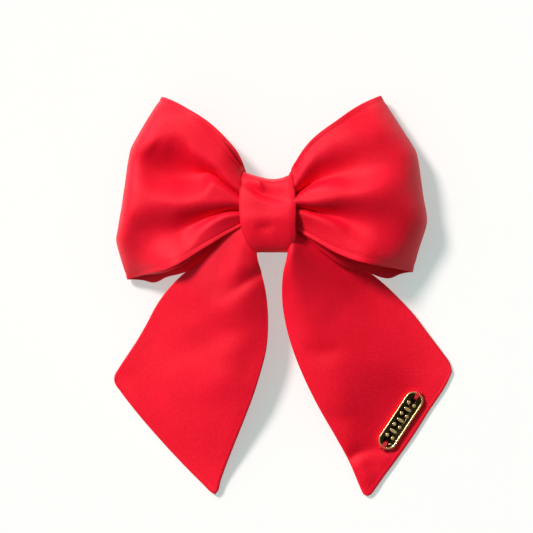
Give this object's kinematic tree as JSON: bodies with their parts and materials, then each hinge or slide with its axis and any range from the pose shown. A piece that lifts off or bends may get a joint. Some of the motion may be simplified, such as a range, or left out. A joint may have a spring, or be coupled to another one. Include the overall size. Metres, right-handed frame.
{
  "type": "hair bow",
  "caption": "Soft satin hair bow with two hollow loops, a gathered knot band and two slanted tails, sewn round a sprung barrette, with a small round-ended metal tag on one tail.",
  "frame": {"origin": "under the middle of the knot, on the plane that the bow lies on when its barrette is closed", "axes": "+X across the loops towards the loop over the tail with the tag, +Y from the tails to the loops' upper corners, +Z out of the front of the bow"},
  "size_m": [0.1327, 0.1567, 0.0273],
  "materials": {
    "satin": "soft matte satin weave",
    "thread": "twisted polyester thread",
    "gilt": "polished pale gold plate",
    "clip_steel": "nickel plated pressed steel",
    "spring_steel": "plain spring steel"
  },
  "bodies": {
    "bow": {"left_loop": "satin", "right_loop": "satin", "loop_centre": "satin", "left_tail_upper": "satin", "right_tail_upper": "satin", "tail_centre": "satin", "knot_band": "satin", "knot_band_stitches": "thread", "gathering_thread": "thread", "barrette_base": "clip_steel", "hinge_pin": "clip_steel", "tension_spring": "spring_steel", "clasp_bracket": "clip_steel", "clasp_rivet": "clip_steel"},
    "arm": {"barrette_arm": "clip_steel"},
    "tab_upper": {"clasp_tab_upper": "spring_steel"},
    "tab_lower": {"clasp_tab_lower": "spring_steel"},
    "left_tail": {"left_tail_lower": "satin"},
    "right_tail": {"right_tail_lower": "satin", "name_tag": "gilt", "tag_stitch_upper": "thread", "tag_stitch_lower": "thread"}
  },
  "joints": [
    {"name": "arm_hinge", "type": "hinge", "parent": "bow", "child": "arm", "pos_m": [-0.0375, 0, 0.0015], "axis": [0, 1, 0], "range_deg": [0, 100]},
    {"name": "tab_upper_squeeze", "type": "hinge", "parent": "bow", "child": "tab_upper", "pos_m": [0.03345, 0.0024, 0.0037], "axis": [-1, 0, 0], "range_deg": [0, 8], "stiffness_Nm_per_rad": 0.02},
    {"name": "tab_lower_squeeze", "type": "hinge", "parent": "bow", "child": "tab_lower", "pos_m": [0.03345, -0.0024, 0.0037], "axis": [1, 0, 0], "range_deg": [0, 8], "stiffness_Nm_per_rad": 0.02},
    {"name": "left_tail_lift", "type": "hinge", "parent": "bow", "child": "left_tail", "pos_m": [-0.018, -0.0245, 0.01235], "axis": [-1, 0, 0], "range_deg": [0, 70]},
    {"name": "right_tail_lift", "type": "hinge", "parent": "bow", "child": "right_tail", "pos_m": [0.024, -0.0245, 0.0077], "axis": [-1, 0, 0], "range_deg": [0, 70]}
  ]
}
